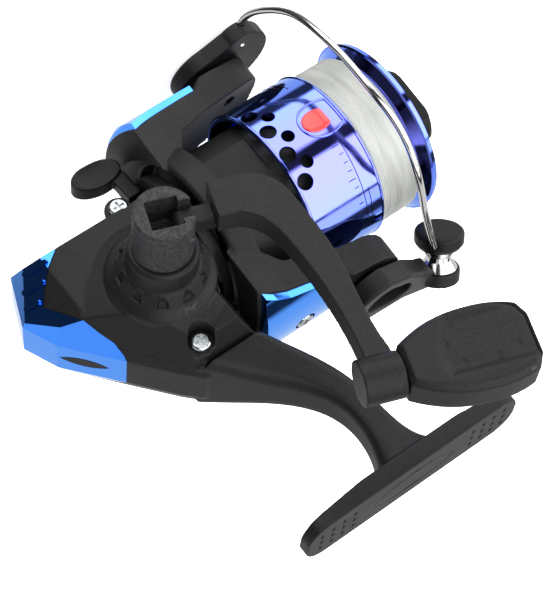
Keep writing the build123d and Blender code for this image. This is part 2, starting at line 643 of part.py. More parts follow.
arm_cover_screw = screw(2.2, 1.2, 1.0, 4.6)
with BuildPart() as arm_cover_screws:
    for turn in (0, 180):
        with Locations(Rotation(turn, 0, 0)):
            with Locations((24.5, 0, COVER_R - 0.9)):
                add(arm_cover_screw)
save("arm_cover_screws", arm_cover_screws, AT_ROTOR)

with BuildPart() as rotor_washer:
    add(turned(tube(HUB_BORE_X, 0.7, 5.0, PINION_SHANK_R + 0.02)))
save("rotor_washer", rotor_washer, AT_ROTOR)

with BuildPart() as rotor_nut:
    with BuildSketch(across(HUB_BORE_X + 0.7)):
        RegularPolygon(5.2, 6)
        Circle(PINION_SHANK_R, mode=Mode.SUBTRACT)
    extrude(amount=2.6)
save("rotor_nut", rotor_nut, AT_ROTOR)

# ---- bail ---------------------------------------------------------------------------
ROLLER_AXIS = Vector(0.265, 0.788, -0.557).normalized()
ROLLER_AT = Vector(64.9, -8.6, 32.6)
ROLLER_R = 3.1
roller_plane = Plane(origin=ROLLER_AT, x_dir=(1, 0, 0.476), z_dir=ROLLER_AXIS)

# points that the bail wire's centre line passes through, from the cap to the holder
WIRE_R = 0.85
WIRE_PATH = [(62.8, -3.6, 33.0), (61.6, 2.5, 29.6), (60.4, 11.0, 25.6), (58.0, 23.0, 22.4),
             (57.4, 31.8, 14.0), (56.3, 35.4, 3.0), (56.4, 34.8, -7.0), (57.0, 31.0, -17.5),
             (57.2, 26.0, -25.6), (55.2, 20.6, -31.4), (52.6, 14.4, -34.6), (51.2, 9.2, -33.4),
             (51.0, 7.6, -31.6)]

PLATE_Z = PIVOT_FACE + 0.25
PLATE_T, PIVOT_SHANK = 5.0, 6.6
with BuildPart() as bail_arm:
    with BuildSketch(Plane.XY.offset(PLATE_Z)):
        with BuildLine():
            l1 = ThreePointArc((PIVOT_X, 9.0), (PIVOT_X - 9.0, 0), (PIVOT_X, -9.0))
            l2 = Polyline(l1 @ 1, (51.0, -10.2), (58.0, -14.6), (63.0, -18.2))
            l3 = ThreePointArc(l2 @ 1, (68.2, -16.6), (69.0, -11.4))
            Polyline(l3 @ 1, (63.0, -8.4), (56.0, -2.2), (50.4, 4.8), l1 @ 0)
        make_face()
    extrude(amount=PLATE_T)
    fillet(bail_arm.edges().group_by(Axis.Z)[-1], 1.0)
    # deep oval recess around the pivot screw, and the bore
    with Locations((PIVOT_X, 0, PLATE_Z + PLATE_T)):
        CounterBoreHole(PIVOT_R + RUNNING, 4.6, PLATE_T - 1.4)
    with BuildSketch(Plane.XY.offset(PLATE_Z + PLATE_T)):
        with Locations(Location((PIVOT_X + 3.0, -1.6), -30)):
            Ellipse(6.4, 4.2)
    extrude(amount=-(PLATE_T - 1.4), mode=Mode.SUBTRACT)
    # room for the roller and its cap, then the cup that carries their axle
    with BuildSketch(roller_plane.offset(-3.2)):
        Circle(6.5)
    extrude(amount=14.0, mode=Mode.SUBTRACT)
    with BuildSketch(roller_plane.offset(-6.4)):
        Circle(5.3)
    extrude(amount=3.2)
    with BuildSketch(roller_plane.offset(-6.4)):
        Circle(1.3)
    extrude(amount=9.0, mode=Mode.SUBTRACT)
save("bail_arm", bail_arm, AT_ROTOR)

with BuildPart() as line_roller:
    with BuildSketch(roller_plane.offset(-3.0)):
        Circle(4.6)
    with BuildSketch(roller_plane.offset(-0.9)):
        Circle(ROLLER_R)
    with BuildSketch(roller_plane.offset(0.3)):
        Circle(ROLLER_R)
    with BuildSketch(roller_plane.offset(2.4)):
        Circle(4.6)
    loft(ruled=True)
    with BuildSketch(roller_plane.offset(-3.0)):
        Circle(1.3 + RUNNING)
    extrude(amount=6, mode=Mode.SUBTRACT)
save("line_roller", line_roller, AT_ROTOR)

with BuildPart() as roller_axle:
    with BuildSketch(roller_plane.offset(-6.4)):
        Circle(1.3)
    extrude(amount=9.0)
save("roller_axle", roller_axle, AT_ROTOR)

with BuildPart() as bail_wire:
    with BuildLine() as wire_line:
        Spline(*WIRE_PATH)
    with BuildSketch(Plane(origin=wire_line.line @ 0, z_dir=wire_line.line % 0)):
        Circle(WIRE_R)
    sweep()
save("bail_wire", bail_wire, AT_ROTOR)

with BuildPart() as roller_cap:
    with BuildSketch(roller_plane.offset(2.65)):
        Circle(5.2)
    with BuildSketch(roller_plane.offset(3.9)):
        Circle(6.0)
    loft()
    with BuildSketch(roller_plane.offset(3.9)):
        Circle(6.0)
    extrude(amount=3.0)
    top = roller_cap.faces().sort_by(Axis((0, 0, 0), tuple(ROLLER_AXIS)))[-1]
    fillet(top.edges(), 1.0)
    add(bail_wire.part, mode=Mode.SUBTRACT)
save("roller_cap", roller_cap, AT_ROTOR)

HOLDER_Z = -PIVOT_FACE - 0.25
with BuildPart() as bail_holder:
    with BuildSketch(Plane.XY.offset(HOLDER_Z)):
        with BuildLine():
            h1 = ThreePointArc((PIVOT_X + 2, -9.0), (PIVOT_X - 9.2, -1.0), (PIVOT_X - 2.0, 8.9))
            h2 = Polyline(h1 @ 1, (47.0, 11.4))
            h3 = ThreePointArc(h2 @ 1, (51.4, 13.0), (55.4, 10.4))
            h4 = ThreePointArc(h3 @ 1, (59.4, 1.0), (55.6, -8.0))
            Line(h4 @ 1, h1 @ 0)
        make_face()
    extrude(amount=-4.4)
    fillet(bail_holder.edges().group_by(Axis.Z)[0], 1.4)
    with Locations(Location((PIVOT_X, 0, HOLDER_Z - 4.4), (180, 0, 0))):
        CounterBoreHole(PIVOT_R + RUNNING, 4.6, 3.0)
    # socket for the end of the wire
    add(bail_wire.part, mode=Mode.SUBTRACT)
save("bail_holder", bail_holder, AT_ROTOR)

pivot_screw = screw(4.0, 1.5, 1.5, PIVOT_SHANK)
with BuildPart() as bail_pivot_screws:
    for turn, seat in ((0, PLATE_Z + 1.5), (180, -HOLDER_Z + 1.5)):
        with Locations(Rotation(turn, 0, 0)):
            with Locations((PIVOT_X, 0, seat)):
                add(pivot_screw)
            with Locations((PIVOT_X, 0, PIVOT_FACE)):
                Cylinder(PIVOT_R, seat - PIVOT_FACE, align=(Align.CENTER, Align.CENTER, Align.MIN))
save("bail_pivot_screws", bail_pivot_screws, AT_ROTOR)

with BuildPart() as bail_spring:
    add(coil(1.15, 0.25, 8.0, 8, start=(28.0, -4.2, -25.55), direction=(1, 0, 0)))
save("bail_spring", bail_spring, AT_ROTOR)

with BuildPart() as bail_trip_lever:
    with BuildSketch(Plane.XY.offset(24.9)):
        with Locations((17.6, 3.4)):
            Rectangle(3.6, 4.0)
        with Locations((27.0, 4.6)):
            Rectangle(17.0, 1.6)
    extrude(amount=1.5)
save("bail_trip_lever", bail_trip_lever, AT_ROTOR)

# ---- spool, line and front drag ------------------------------------------------------
SHAFT_REAR, SHAFT_FRONT = SLOT_X - 3.4, 76.0
with BuildPart() as main_shaft:
    with BuildSketch(across(SHAFT_REAR)):
        Circle(SHAFT_R)
    extrude(amount=SHAFT_FRONT - SHAFT_REAR)
    with Locations((SLOT_X, 0, -1.2)):
        Cylinder(0.75, 1.2, mode=Mode.SUBTRACT)
save("main_shaft", main_shaft)

with BuildPart() as spool_seat_washer:
    add(turned(tube(47.0, 1.0, 4.0, SHAFT_R)))
save("spool_seat_washer", spool_seat_washer)

SKIRT_IN_R = SKIRT_R - SKIRT_WALL
HOLE_STEP = 20                     # degrees between neighbouring holes of the skirt
BIG_RING = (37.4, 2.0, -29.0, 4)   # where along X, radius, angle of the first hole, holes in a group
SMALL_RING = (40.3, 1.6, -19.2, 3)
with BuildPart() as spool:
    add(turned([(SKIRT_X, SKIRT_IN_R), (SKIRT_X, SKIRT_R - 0.3), (SKIRT_X + 0.4, SKIRT_R),
                (LINE_X - 0.8, SKIRT_R), (LINE_X - 0.1, SKIRT_R - 0.5), (LINE_X - 0.1, ARBOR_R),
                (LINE_END_X + 0.1, ARBOR_R), (LINE_END_X + 0.1, LINE_R - 1.0),
                (LINE_END_X + 2.2, LIP_R - 0.6), (LIP_X - 1.6, LIP_R), (LIP_X - 0.4, LIP_R - 0.4),
                (LIP_X, LIP_R - 1.4), (LIP_X - 1.6, LINE_R - 4), (LIP_X - 1.8, DRAG_BORE_R),
                (DRAG_FLOOR_X, DRAG_BORE_R), (DRAG_FLOOR_X, SHAFT_R + RUNNING), (48.2, SHAFT_R + RUNNING),
                (48.2, 4.4), (LINE_X - 1.6, 5.0), (LINE_X - 1.6, SKIRT_IN_R)]))
    # two groups of holes on opposite sides
    for x, radius, first_angle, count in (BIG_RING, SMALL_RING):
        for turn in [first_angle + HOLE_STEP * k + half for half in (0, 180) for k in range(count)]:
            with Locations(Plane.YZ.offset(x)):
                with PolarLocations(SKIRT_R, 1, start_angle=turn):
                    with Locations(Rotation(0, 90, 0)):
                        Cylinder(radius, 4, mode=Mode.SUBTRACT)
save("spool", spool)

with BuildPart() as fishing_line:
    add(turned([(LINE_X, ARBOR_R + 0.02), (LINE_END_X, ARBOR_R + 0.02), (LINE_END_X, LINE_R - 1.2),
                (LINE_END_X - 1.4, LINE_R), (LINE_X + 1.0, LINE_R), (LINE_X, LINE_R - 0.6)]))
save("fishing_line", fishing_line)

with BuildPart() as click_wheel:
    with BuildSketch(across(LINE_X - 3.2)):
        Polygon(*toothed_outline(24, 9.0, 8.0, 0.5, 1.2), align=None)
        Circle(5.2, mode=Mode.SUBTRACT)
    extrude(amount=1.5)
save("click_wheel", click_wheel)

with BuildPart() as drag_washers_felt:
    for x in (DRAG_FLOOR_X + 0.1, DRAG_FLOOR_X + 2.3, DRAG_FLOOR_X + 4.5):
        add(turned(tube(x, 1.0, DRAG_BORE_R - 0.3, SHAFT_R + 0.6)))
save("drag_washers_felt", drag_washers_felt)

with BuildPart() as drag_washers_metal:
    for x in (DRAG_FLOOR_X + 1.2, DRAG_FLOOR_X + 3.4):
        add(turned(tube(x, 1.0, DRAG_BORE_R - 0.5, SHAFT_R + 0.02)))
save("drag_washers_metal", drag_washers_metal)

with BuildPart() as drag_retainer:
    add(coil(DRAG_BORE_R - 0.45, 0.3, 0.7, 1, start=(DRAG_FLOOR_X + 6.0, 0, 0), direction=(1, 0, 0)))
save("drag_retainer", drag_retainer)

with BuildPart() as drag_spring:
    add(coil(3.4, 0.4, 3.4, 3.0, start=(DRAG_FLOOR_X + 6.1, 0, 0), direction=(1, 0, 0)))
save("drag_spring", drag_spring)

with BuildPart() as drag_nut:
    with BuildSketch(across(72.0)):
        RegularPolygon(3.4, 6)
        Circle(SHAFT_R + RUNNING, mode=Mode.SUBTRACT)
    extrude(amount=3.0)
save("drag_nut", drag_nut)

with BuildPart() as drag_knob:
    add(turned([(KNOB_X, 7.6), (KNOB_X, KNOB_R - 0.4), (KNOB_X + 0.6, KNOB_R), (KNOB_X + 3.4, KNOB_R),
                (KNOB_END_X - 1.3, KNOB_R), (KNOB_END_X - 0.4, KNOB_R - 0.5),
                (KNOB_END_X, KNOB_R - 1.5), (KNOB_END_X, 0), (76.8, 0), (76.8, 2.6), (75.1, 2.6),
                (75.1, 6.6), (KNOB_X, 6.6)]))
    # three flats leave a lobed head in front of the round base
    with BuildSketch(across(KNOB_X + 1.8)):
        Circle(KNOB_R + 1)
        RegularPolygon(15.4, 3, rotation=68, mode=Mode.SUBTRACT)
    extrude(amount=10, mode=Mode.SUBTRACT)
    # hexagonal seat of the nut
    with BuildSketch(across(72.0)):
        Circle(7.0)
        RegularPolygon(3.42, 6, mode=Mode.SUBTRACT)
    extrude(amount=3.1)
save("drag_knob", drag_knob)

# ---- crank handle, drawn with its arm along Z ------------------------------------------
SLOT_HALF = 2.15
with BuildPart() as crank_hub:
    with BuildSketch(side(HUB_Y)):
        Circle(HUB_R)
    extrude(amount=HUB_Y - HUB_TOP_Y)
    fillet(crank_hub.edges().group_by(Axis.Y)[-1], 0.5)
    with BuildSketch(side(HUB_TOP_Y)):
        Rectangle(7.0, 7.0)
    extrude(amount=HUB_TOP_Y - 33.4, mode=Mode.SUBTRACT)
    with BuildSketch(side(HUB_TOP_Y)):
        with Locations((4.8, 0)):
            Rectangle(7.0, 2 * SLOT_HALF)
    extrude(amount=HUB_TOP_Y - 33.3, mode=Mode.SUBTRACT)
    # square shank that drives the gear, with the fold pin's bore above
    with BuildSketch(side(HUB_Y)):
        Rectangle(SOCKET - 0.04, SOCKET - 0.04)
    extrude(amount=14.0)
    with BuildSketch(Plane.XY.offset(-HUB_R)):
        with Locations((FOLD_X, FOLD_Y)):
            Circle(1.0)
    extrude(amount=2 * HUB_R, mode=Mode.SUBTRACT)
save("crank_hub", crank_hub, AT_HANDLE)

with BuildPart() as fold_pin:
    with BuildSketch(Plane.XY.offset(-4.6)):
        with Locations((FOLD_X, FOLD_Y)):
            Circle(1.0)
    extrude(amount=9.2)
save("fold_pin", fold_pin, AT_HANDLE)

arm_plane = Plane(origin=(0, ARM_Y, 0), x_dir=(1, 0, 0),
                  z_dir=(0, -cos(radians(ARM_FLARE)), sin(radians(ARM_FLARE))))
with BuildPart() as handle_arm:
    with BuildSketch(arm_plane):
        with BuildLine():
            a1 = Polyline((10.5, 4.5), (10.5, -4.8), (18.0, -4.8))
            a2 = Spline(a1 @ 1, (24.6, -1.6), (28.2, 7.0), (30.9, 18.0), (32.0, 29.0), (32.6, 37.0),
                        (34.0, 44.0))
            a3 = Polyline(a2 @ 1, (34.0, 49.0), (28.2, 49.0))
            a4 = Spline(a3 @ 1, (28.0, 39.0), (26.2, 27.0), (23.0, 15.0), (19.4, 7.6), (15.0, 4.5))
            Line(a4 @ 1, a1 @ 0)
        make_face()
    extrude(amount=-ARM_DEPTH)
    # boss that carries the grip
    with BuildSketch(Plane.YZ.offset(BOSS_X)):
        with Locations((GRIP_Y, GRIP_Z)):
            Circle(4.9)
    extrude(amount=BOSS_LENGTH)
    # tongue in the hub's slot
    with BuildSketch(Plane.XY.offset(-2.0)):
        with Locations((FOLD_X, FOLD_Y)):
            Circle(2.6)
        with Locations(((FOLD_X + 13.0) / 2, FOLD_Y + 0.3)):
            Rectangle(13.0 - FOLD_X, 4.6)
        with Locations((FOLD_X, FOLD_Y)):
            Circle(1.0 + RUNNING, mode=Mode.SUBTRACT)
    extrude(amount=4.0)
    with BuildSketch(Plane.YZ.offset(BOSS_X + 1.5)):
        with Locations((GRIP_Y, GRIP_Z)):
            Circle(1.8)
    extrude(amount=BOSS_LENGTH, mode=Mode.SUBTRACT)
save("handle_arm", handle_arm, AT_HANDLE)

GRIP_START, GRIP_HALF_DEPTH, GRIP_BEVEL = BOSS_X + BOSS_LENGTH + 0.2, 4.6, 1.2
grip_plane = Plane(origin=(GRIP_START, GRIP_Y + GRIP_HALF_DEPTH, GRIP_Z), x_dir=(1, 0, 0), z_dir=(0, -1, 0))
GRIP_DIMPLES = [(11.7, -5.6), (9.6, -1.8), (12.2, 2.6), (19.2, 3.0), (23.9, 1.6)]
with BuildPart() as handle_grip:
    with BuildSketch(grip_plane):
        with BuildLine():
            g1 = Line((0, -4.6), (0, 4.6))
            g2 = Spline(g1 @ 1, (4.8, 7.2), (9.8, 8.8), (15.2, 9.4), (20.6, 9.2), (26.4, 7.6))
            g3 = Line(g2 @ 1, (28.0, 4.6))
            g4 = Line(g3 @ 1, (28.0, -4.6))
            g5 = Line(g4 @ 1, (26.4, -7.6))
            Spline(g5 @ 1, (20.6, -9.2), (15.2, -9.4), (9.8, -8.8), (4.8, -7.2), g1 @ 0)
        make_face()
    extrude(amount=2 * GRIP_HALF_DEPTH)
    chamfer(handle_grip.faces().sort_by(Axis.Y)[-1].edges(), GRIP_BEVEL)
    chamfer(handle_grip.faces().sort_by(Axis.Y)[0].edges(), GRIP_BEVEL)
    # finger dimples on both faces
    for hand in (-1, 1):
        with Locations(*[(GRIP_START + x, GRIP_Y + hand * (GRIP_HALF_DEPTH + 0.35), GRIP_Z + z)
                         for x, z in GRIP_DIMPLES]):
            Sphere(0.8, mode=Mode.SUBTRACT)
    with BuildSketch(Plane.YZ.offset(GRIP_START - 1)):
        with Locations((GRIP_Y, GRIP_Z)):
            Circle(1.75 + RUNNING)
    extrude(amount=21.0, mode=Mode.SUBTRACT)
save("handle_grip", handle_grip, AT_HANDLE)

with BuildPart() as grip_spindle:
    with BuildSketch(Plane.YZ.offset(BOSS_X + 1.6)):
        with Locations((GRIP_Y, GRIP_Z)):
            Circle(1.75)
    extrude(amount=BOSS_LENGTH + 18.0)
save("grip_spindle", grip_spindle, AT_HANDLE)
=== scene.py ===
import json
from math import atan2, cos, pi, radians, sin, sqrt

import bmesh
import bpy
from mathutils import Matrix, Vector


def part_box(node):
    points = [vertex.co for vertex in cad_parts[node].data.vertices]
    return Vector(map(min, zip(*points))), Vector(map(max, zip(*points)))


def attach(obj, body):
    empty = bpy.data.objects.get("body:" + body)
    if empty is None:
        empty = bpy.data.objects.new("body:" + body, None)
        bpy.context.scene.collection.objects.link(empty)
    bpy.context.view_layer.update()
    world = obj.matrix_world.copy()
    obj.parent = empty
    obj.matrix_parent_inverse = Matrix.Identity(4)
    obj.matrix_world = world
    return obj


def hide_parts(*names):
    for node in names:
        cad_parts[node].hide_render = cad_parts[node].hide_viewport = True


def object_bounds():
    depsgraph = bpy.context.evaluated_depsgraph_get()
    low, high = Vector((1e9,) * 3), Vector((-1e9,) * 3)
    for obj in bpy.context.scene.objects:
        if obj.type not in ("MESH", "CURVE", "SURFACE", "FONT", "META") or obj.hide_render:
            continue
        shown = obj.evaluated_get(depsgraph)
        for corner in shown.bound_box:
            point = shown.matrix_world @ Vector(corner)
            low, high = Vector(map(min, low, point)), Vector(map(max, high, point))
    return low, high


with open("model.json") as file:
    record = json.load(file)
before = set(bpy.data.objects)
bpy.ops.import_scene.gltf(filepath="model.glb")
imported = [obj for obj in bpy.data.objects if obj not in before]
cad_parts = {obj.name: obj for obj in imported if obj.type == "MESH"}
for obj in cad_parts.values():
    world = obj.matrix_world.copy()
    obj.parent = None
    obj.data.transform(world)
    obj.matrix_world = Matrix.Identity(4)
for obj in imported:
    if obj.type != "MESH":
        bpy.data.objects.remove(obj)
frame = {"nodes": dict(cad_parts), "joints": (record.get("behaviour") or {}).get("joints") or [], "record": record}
CAD_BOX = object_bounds()
NODES = frame["nodes"]
BODIES = frame["record"]["behaviour"]["bodies"]
BODY_OF = {node: body for body, nodes in BODIES.items() for node in nodes}
SLOT_OF = {part["node"]: part["material_slot"] for part in frame["record"]["subparts"]}
JOINTS = {joint["name"]: joint for joint in frame["joints"]}
MM = 0.001

# points on the spool's shaft and on the crank's shaft
SHAFT = Vector(JOINTS["rotor_spin"]["pos_m"])
CRANK = Vector(JOINTS["drive_spin"]["pos_m"])


# ---- shader helpers ---------------------------------------------------------------------
def set_socket(tree, socket, value):
    """Link a socket to another one, or give it a plain value."""
    if isinstance(value, bpy.types.NodeSocket):
        tree.links.new(value, socket)
    else:
        socket.default_value = value


def add_node(tree, kind, inputs=None, **settings):
    """A new node with its settings and inputs filled in."""
    made = tree.nodes.new(kind)
    for key, value in settings.items():
        setattr(made, key, value)
    for key, value in (inputs or {}).items():
        set_socket(tree, made.inputs[key], value)
    return made


class Shader:
    """A material whose nodes are added one call at a time."""

    def __init__(self, name, **surface):
        self.material = bpy.data.materials.new(name)
        self.material.use_nodes = True
        self.tree = self.material.node_tree
        self.surface = self.tree.nodes["Principled BSDF"]
        for key, value in surface.items():
            socket = key.replace("_", " ").title().replace("Ior", "IOR")
            self.surface.inputs[socket].default_value = value
        self.place = self.node("ShaderNodeTexCoord").outputs["Object"]

    def node(self, kind, links=None, **settings):
        return add_node(self.tree, kind, links, **settings)

    def feed(self, socket, value):
        self.tree.links.new(value, self.surface.inputs[socket])

    def noise(self, scale, detail, stretch=(1, 1, 1)):
        place = self.node("ShaderNodeMapping", {"Vector": self.place, "Scale": stretch}).outputs[0]
        return self.node("ShaderNodeTexNoise", {"Vector": place, "Scale": scale,
                                                "Detail": detail}).outputs[0]

    def spread(self, value, low, high, start=0.0, end=1.0):
        """Map a value from start..end to low..high."""
        return self.node("ShaderNodeMapRange", {"Value": value, "From Min": start, "From Max": end,
                                                "To Min": low, "To Max": high}).outputs[0]

    def blend(self, share, first, second):
        # a mix node's colours are its inputs 6 and 7, and its mixed colour is output 2
        return self.node("ShaderNodeMix", {0: share, 6: first, 7: second}, data_type="RGBA").outputs[2]

    def bump(self, height, strength, depth):
        made = self.node("ShaderNodeBump", {"Height": height, "Strength": strength, "Distance": depth})
        self.feed("Normal", made.outputs[0])


def grey(value, blue=1.0):
    return (value, value, value * blue, 1)


def moulded(name, dark, light, rough, grain=2600, depth=0.02, edge_highlight_grey=0.03, gloss=0.4):
    """Moulded plastic: speckled grain, uneven sheen and convex edges painted paler as a painted highlight."""
    shader = Shader(name, roughness=rough, specular_ior_level=gloss)
    speckle = shader.noise(grain, 3)
    patches = shader.noise(140, 2)
    # painted highlight: convex edges are painted paler than the rest of the part
    painted_edge_highlight = shader.spread(shader.node("ShaderNodeNewGeometry").outputs["Pointiness"], 0, 1, 0.60, 0.80)
    base = shader.blend(shader.spread(speckle, 0, 1, 0.35, 0.7), grey(dark), grey(light, 1.03))
    shader.feed("Base Color", shader.blend(painted_edge_highlight, base, grey(edge_highlight_grey)))
    shader.feed("Roughness", shader.spread(patches, rough - 0.07, rough + 0.08))
    shader.bump(speckle, 0.35, depth * MM)
    return shader.material


def plated(name, facing, edge_on, rough=0.07, ripple=0.02):
    """Tinted mirror plating over a moulded part, with a faint ripple."""
    shader = Shader(name, metallic=1.0, roughness=rough)
    angle = shader.node("ShaderNodeLayerWeight", {"Blend": 0.45}).outputs["Facing"]
    shader.feed("Base Color", shader.blend(angle, (*facing, 1), (*edge_on, 1)))
    smudge = shader.noise(220, 3)
    shader.feed("Roughness", shader.spread(smudge, rough - 0.03, rough + 0.06, 0.3, 0.8))
    shader.bump(shader.noise(160, 1), 0.3, ripple * MM)
    return shader.material


def metal(name, colour, rough, grain=900, stretch=(1, 1, 1), depth=0.006):
    """Bare or plated metal with fine brushing or casting marks."""
    shader = Shader(name, metallic=1.0)
    marks = shader.noise(grain, 4, stretch)
    darker = tuple(c * 0.80 for c in colour)
    shader.feed("Base Color", shader.blend(marks, (*darker, 1), (*colour, 1)))
    shader.feed("Roughness", shader.spread(marks, rough * 0.6, rough * 1.5))
    shader.bump(marks, 0.3, depth * MM)
    return shader.material


def wound_nylon():
    """Translucent wound line: fine turns and soft streaks along them."""
    shader = Shader("wound_line", roughness=0.34, subsurface_weight=0.35, subsurface_scale=0.0006)
    streak = shader.noise(420, 3, (1, 0.12, 0.12))
    shade = shader.noise(90, 2, (0.6, 1, 1))
    pale, deep, cloudy = (0.44, 0.45, 0.43, 1), (0.22, 0.23, 0.21, 1), (0.34, 0.36, 0.32, 1)
    turns = shader.blend(shader.spread(streak, 0, 1, 0.3, 0.7), deep, pale)
    shader.feed("Base Color", shader.blend(shader.spread(shade, 0, 0.5), turns, cloudy))
    shader.bump(streak, 0.4, 0.05 * MM)
    return shader.material


def red_enamel():
    """Glossy red inlay with a faint cloud in its colour."""
    shader = Shader("red_enamel", roughness=0.3, coat_weight=0.4)
    cloud = shader.noise(500, 2)
    shader.feed("Base Color", shader.blend(cloud, (0.52, 0.012, 0.012, 1), (0.78, 0.035, 0.03, 1)))
    shader.bump(cloud, 0.3, 0.02 * MM)
    return shader.material


# in the moulded finishes, the number after the bump depth is the grey of the painted edge highlight
MATERIALS = {
    "black_plastic": moulded("moulded_black", 0.0035, 0.010, 0.46, gloss=0.17),
    "black_cap": moulded("smooth_black", 0.003, 0.006, 0.36, 1800, 0.01, 0.010, 0.13),
    "cast_black": moulded("cast_black", 0.008, 0.034, 0.50, 1500, 0.05, 0.05, 0.2),
    "blue_chrome": plated("blue_plating", (0.055, 0.23, 0.92), (0.08, 0.36, 0.95)),
    "skirt_chrome": plated("skirt_plating", (0.20, 0.19, 0.86), (0.04, 0.28, 0.90)),
    "steel": metal("polished_steel", (0.60, 0.60, 0.59), 0.13, 500, depth=0.002),
    "zinc": metal("zinc_plate", (0.42, 0.45, 0.46), 0.22, 1100, depth=0.012),
    "brass": metal("turned_brass", (0.74, 0.53, 0.22), 0.24, 700),
    "gear_zinc": metal("die_cast_zinc", (0.50, 0.51, 0.53), 0.40, 1100, depth=0.02),
    "nylon": moulded("nylon_white", 0.55, 0.68, 0.42, 1500, 0.02, 0.75),
    "felt": moulded("drag_felt", 0.12, 0.30, 0.92, 3200, 0.25, 0.34),
    "line": wound_nylon(),
    "red": red_enamel(),
}
# nodes whose finish differs from their slot's
FINISH_OF = {"spool": "skirt_chrome", "crank_hub": "cast_black"}


def finish_of(node):
    return MATERIALS[FINISH_OF.get(node, SLOT_OF[node])]


for node, thing in NODES.items():
    thing.data.materials.clear()
    thing.data.materials.append(finish_of(node))


# ---- pieces -----------------------------------------------------------------------------
def stand_for(piece, node):
    """A new piece takes a CAD node's place, body and finish."""
    piece.data.materials.clear()
    piece.data.materials.append(finish_of(node))
    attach(piece, BODY_OF[node])
    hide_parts(node)


def soften(node, voxel, rounds):
    """The moulded version of a node: a fine closed skin with every edge rounded over."""
    piece = bpy.data.objects.new(f"{node}_moulded", NODES[node].data.copy())
    bpy.context.scene.collection.objects.link(piece)
    remesh = piece.modifiers.new("skin", "REMESH")
    remesh.mode = "VOXEL"
    remesh.voxel_size = voxel * MM
    smooth = piece.modifiers.new("round", "SMOOTH")
    smooth.factor = 0.5
    smooth.iterations = rounds
    made = bpy.data.meshes.new_from_object(piece.evaluated_get(bpy.context.evaluated_depsgraph_get()))
    piece.modifiers.clear()
    piece.data = made
    piece.data.shade_smooth()
    stand_for(piece, node)
    return piece


# node: voxel in mm, rounds of smoothing
MOULDED = {
    "body_frame": (0.30, 5), "side_cover": (0.25, 4), "rotor": (0.30, 5), "bail_arm": (0.22, 8),
    "bail_holder": (0.22, 8), "handle_arm": (0.22, 8), "handle_grip": (0.25, 8), "crank_hub": (0.18, 4),
    "anti_reverse_lever": (0.18, 8), "roller_cap": (0.16, 5), "drag_knob": (0.2, 5),
    "rear_cap_inset": (0.15, 3),
}
softened = {node: soften(node, voxel, rounds) for node, (voxel, rounds) in MOULDED.items()}


def add_piece(name, verts, faces, finish):
    """A new mesh piece that rides on the spool."""
    mesh = bpy.data.meshes.new(name)
    mesh.from_pydata([tuple(v) for v in verts], [], faces)
    mesh.validate()
    work = bmesh.new()
    work.from_mesh(mesh)
    bmesh.ops.recalc_face_normals(work, faces=work.faces)
    work.to_mesh(mesh)
    work.free()
    mesh.shade_smooth()
    mesh.materials.append(MATERIALS[finish])
    piece = bpy.data.objects.new(name, mesh)
    bpy.context.scene.collection.objects.link(piece)
    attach(piece, "spool")
    return piece


def band_faces(starts, count):
    """Quads between neighbouring rings of count points, given each ring's first index."""
    return [(here + k, here + (k + 1) % count, there + (k + 1) % count, there + k)
            for here, there in zip(starts, starts[1:]) for k in range(count)]


# a direction that no path on the spool runs along
SKEW = Vector((0.31, 0.52, 0.79))


def tube_piece(name, points, radius, finish, closed=False, sides=8):
    """A round bead along a path on the spool, with a flat cap at each open end."""
    count = len(points)
    verts = []
    for index, point in enumerate(points):
        before = points[(index - 1) % count] if closed or index else point
        after = points[(index + 1) % count] if closed or index < count - 1 else point
        ahead = (after - before).normalized()
        aside = ahead.cross(SKEW).normalized()
        up = ahead.cross(aside)
        verts += [point + radius * (cos(2 * pi * k / sides) * aside + sin(2 * pi * k / sides) * up)
                  for k in range(sides)]
    starts = [index * sides for index in range(count)]
    faces = band_faces(starts + starts[:1] if closed else starts, sides)
    if not closed:
        faces += [tuple(range(sides)), tuple(range(starts[-1], starts[-1] + sides))]
    return add_piece(name, verts, faces, finish)


# ---- the spool's badge, beads, rules and line, in mm and degrees ----------------------------
SKIRT_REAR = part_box("spool")[0].x
LINE_LOW, LINE_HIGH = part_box("fishing_line")
SKIRT_R = 20.85
SKIRT_LENGTH = (LINE_LOW.x - SKIRT_REAR) / MM


def on_spool(x, angle, radius):
    """A point on the spool: x from the skirt's rear edge, angle from +Y to +Z, radius."""
    return Vector((SKIRT_REAR + x * MM, SHAFT.y + radius * MM * cos(radians(angle)),
                   SHAFT.z + radius * MM * sin(radians(angle))))


def shield(middle_x, middle_angle, length, width, steps=40):
    """A closed outline on the skirt: round towards the tail, straight towards the lip."""
    # the round outline is cut straight at a share of its half length, then shifted and tapered
    cut, shift, taper = 0.55, 0.145, 0.12
    outline = []
    for k in range(steps):
        ahead, across = cos(2 * pi * k / steps), sin(2 * pi * k / steps)
        x = middle_x + length * min(ahead, cut) / (1 + cut) + length * shift
        outline.append((x, middle_angle + width / 2 * across * (1 - taper * ahead)))
    return outline


def badge(name, outline, height, finish):
    """A domed plate whose foot is sunk into the skirt."""
    sunk, crown = 0.25, 1.1 * height
    mid_x = sum(x for x, angle in outline) / len(outline)
    mid_angle = sum(angle for x, angle in outline) / len(outline)
    # share of the outline's size and height of each ring, from the foot to the crown
    rings = [(1.0, -sunk), (1.0, 0.25 * height), (0.95, 0.8 * height), (0.86, height), (0.5, crown)]
    verts = [on_spool(mid_x + (x - mid_x) * share, mid_angle + (angle - mid_angle) * share, SKIRT_R + rise)
             for share, rise in rings for x, angle in outline]
    verts.append(on_spool(mid_x, mid_angle, SKIRT_R + crown))
    verts.append(on_spool(mid_x, mid_angle, SKIRT_R - sunk))
    count = len(outline)
    starts = [ring * count for ring in range(len(rings))]
    faces = band_faces(starts, count)
    faces += [(starts[-1] + k, starts[-1] + (k + 1) % count, len(verts) - 2) for k in range(count)]
    faces += [((k + 1) % count, k, len(verts) - 1) for k in range(count)]
    return add_piece(name, verts, faces, finish)


